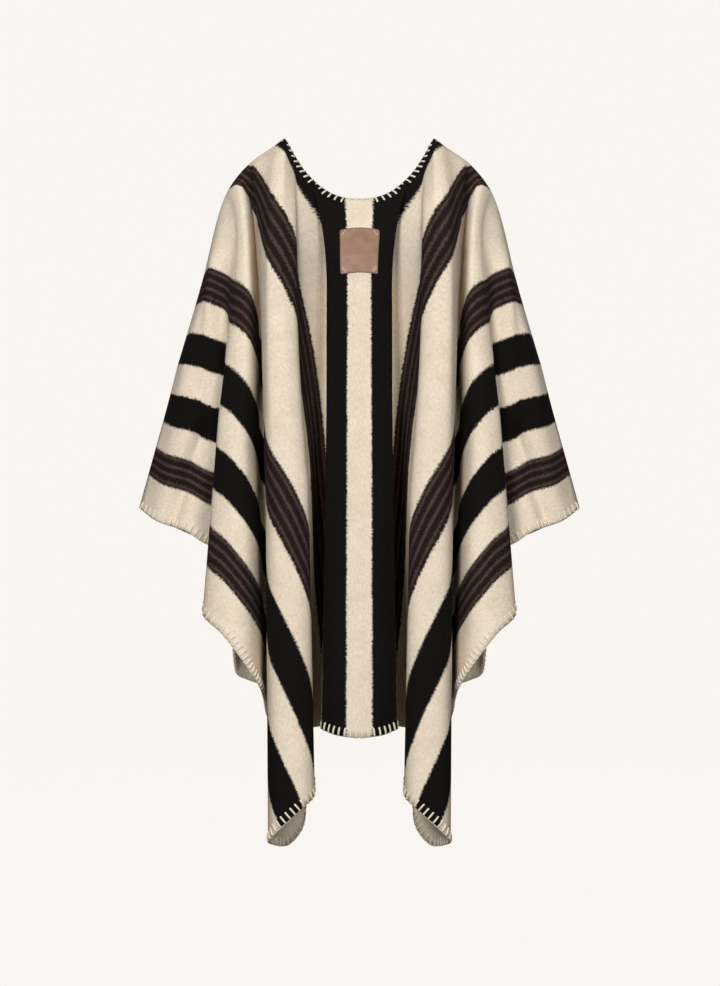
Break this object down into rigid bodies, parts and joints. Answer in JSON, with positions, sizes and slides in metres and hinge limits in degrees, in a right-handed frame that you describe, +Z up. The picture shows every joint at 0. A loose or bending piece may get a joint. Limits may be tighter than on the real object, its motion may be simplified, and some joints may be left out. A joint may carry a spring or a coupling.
{
  "type": "blanket cape",
  "caption": "Open-front wool blanket cape worn over the shoulders, cut from one striped rectangle with a neck slot, hanging in deep folds, with a leather patch on the back.",
  "frame": {"origin": "midpoint between the two neck points, where the cape rests on the shoulders", "axes": "+X the wearer's right, +Y the wearer's front, +Z up; the pictured back faces -Y"},
  "size_m": [0.7056, 0.3778, 1.1214],
  "materials": {
    "wool": "brushed cream wool with black and dark brown stripes along the length",
    "leather": "matt brown vegetable-tanned leather"
  },
  "bodies": {
    "root": {"cape_body": "wool", "leather_patch": "leather"}
  },
  "joints": []
}
